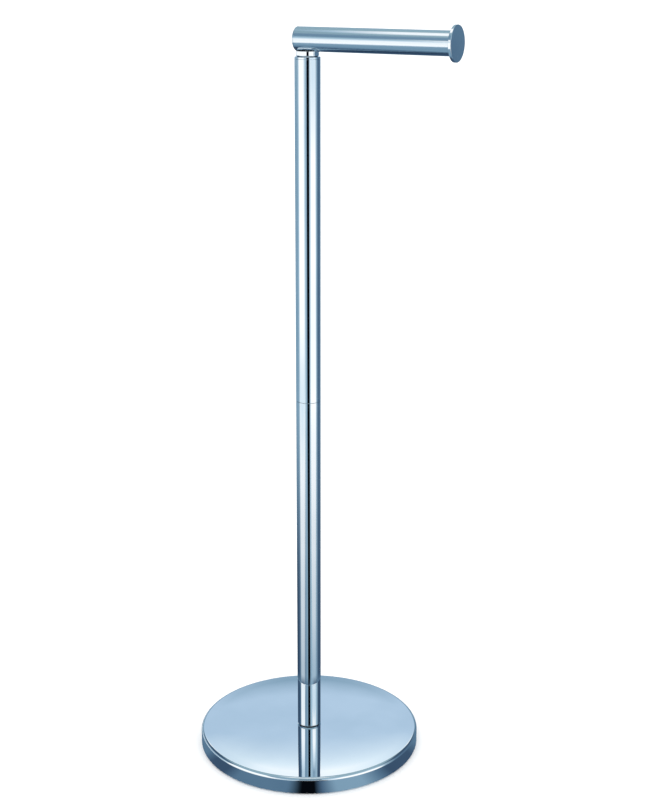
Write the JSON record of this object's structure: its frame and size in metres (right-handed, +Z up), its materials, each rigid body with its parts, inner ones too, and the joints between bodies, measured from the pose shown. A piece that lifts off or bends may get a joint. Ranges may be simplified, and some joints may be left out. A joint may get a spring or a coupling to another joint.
{
  "type": "free-standing toilet paper holder",
  "caption": "Free-standing chromed roll holder: weighted round base, upright two-part tube column, and a swivelling horizontal arm with an end disc that keeps the roll on.",
  "frame": {"origin": "centre of the base's underside, on the floor and on the column's axis", "axes": "+Z up along the column, +X along the roll arm from the column to the end disc, +Y to the arm's left"},
  "size_m": [0.2378, 0.204, 0.6649],
  "materials": {
    "polished_chrome": "mirror-polished chrome plate, cool tint",
    "satin_chrome": "chrome plate over a finely brushed tube, soft lengthwise reflections",
    "zinc_plate": "bright zinc-plated steel",
    "cast_iron": "raw sand-cast grey iron",
    "black_acetal": "smooth moulded acetal",
    "blue_nylon": "moulded nylon",
    "black_rubber": "moulded rubber",
    "black_foam": "closed-cell EVA foam"
  },
  "bodies": {
    "stand": {"anti_slip_pad": "black_foam", "base_shell": "polished_chrome", "base_weight": "cast_iron", "base_stud": "zinc_plate", "foot_washer": "black_rubber", "foot_plug": "polished_chrome", "lower_tube": "polished_chrome", "lower_tube_insert": "zinc_plate", "coupling_stud": "zinc_plate", "upper_tube_insert": "zinc_plate", "upper_tube": "polished_chrome", "column_cap": "polished_chrome", "upper_bush": "black_acetal", "lower_bush": "black_acetal"},
    "arm": {"swivel_spindle": "zinc_plate", "thrust_washer": "zinc_plate", "wave_washer": "zinc_plate", "clamp_washer": "zinc_plate", "lock_nut": "zinc_plate", "lock_nut_ring": "blue_nylon", "neck_collar": "polished_chrome", "arm_tube": "satin_chrome", "arm_mount_block": "zinc_plate", "spindle_lock_screw": "zinc_plate", "arm_rear_cap": "satin_chrome", "arm_front_insert": "zinc_plate", "end_disc_stud": "zinc_plate", "end_disc": "polished_chrome"}
  },
  "joints": [
    {"name": "arm_swivel", "type": "hinge", "parent": "stand", "child": "arm", "pos_m": [0, 0, 0.6359], "axis": [0, 0, 1], "continuous": true}
  ]
}
